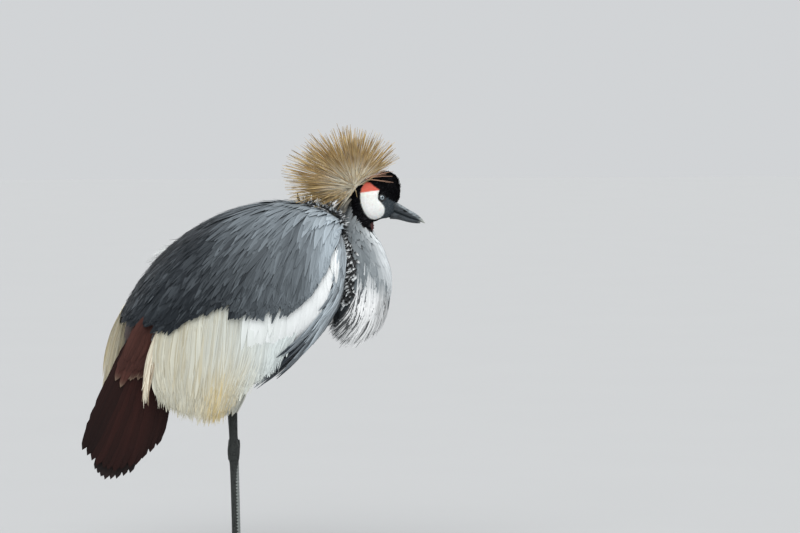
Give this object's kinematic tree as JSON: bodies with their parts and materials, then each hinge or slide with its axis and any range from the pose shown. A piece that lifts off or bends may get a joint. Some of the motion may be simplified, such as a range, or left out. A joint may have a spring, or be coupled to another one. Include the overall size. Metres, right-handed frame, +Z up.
{
  "type": "grey crowned crane, still life-size model",
  "caption": "Life-size still model of a grey crowned crane standing on both feet with its neck drawn in, for a museum-type display.",
  "frame": {"origin": "on the floor, below the middle of the bird's box", "axes": "+X towards the bill, +Y towards the bird's left side, +Z up"},
  "size_m": [0.5616, 0.242, 0.7373],
  "materials": {
    "slate_feather": "matt slate-grey contour feathers with pale edges",
    "pale_grey_feather": "soft pale grey neck feathers",
    "white_feather": "soft white covert feathers and straw-coloured plumes",
    "maroon_feather": "chestnut to nearly black flight feathers",
    "black_feather": "black velvet and flight feathers",
    "straw_crest": "stiff straw-gold bristle feathers",
    "red_skin": "bare red skin",
    "bill_horn": "smooth dark grey horn",
    "leg_scale": "black scaled skin with greyish scutes",
    "iris": "wet pale blue-grey eye"
  },
  "bodies": {
    "root": {"bill_lower": "bill_horn", "bill_upper": "bill_horn", "claw_hind_left": "bill_horn", "claw_hind_right": "bill_horn", "claw_inner_left": "bill_horn", "claw_inner_right": "bill_horn", "claw_middle_left": "bill_horn", "claw_middle_right": "bill_horn", "claw_outer_left": "bill_horn", "claw_outer_right": "bill_horn", "crest": "straw_crest", "eye_left": "iris", "eye_right": "iris", "foot_left": "leg_scale", "foot_right": "leg_scale", "head": "black_feather", "leg_left": "leg_scale", "leg_right": "leg_scale", "mantle": "slate_feather", "neck_lower": "pale_grey_feather", "neck_upper": "pale_grey_feather", "primaries_left": "black_feather", "primaries_right": "black_feather", "secondaries_left": "maroon_feather", "secondaries_right": "maroon_feather", "tail": "black_feather", "thigh_left": "pale_grey_feather", "thigh_right": "pale_grey_feather", "torso": "slate_feather", "wattle": "red_skin", "wing_left": "white_feather", "wing_right": "white_feather"}
  },
  "joints": []
}
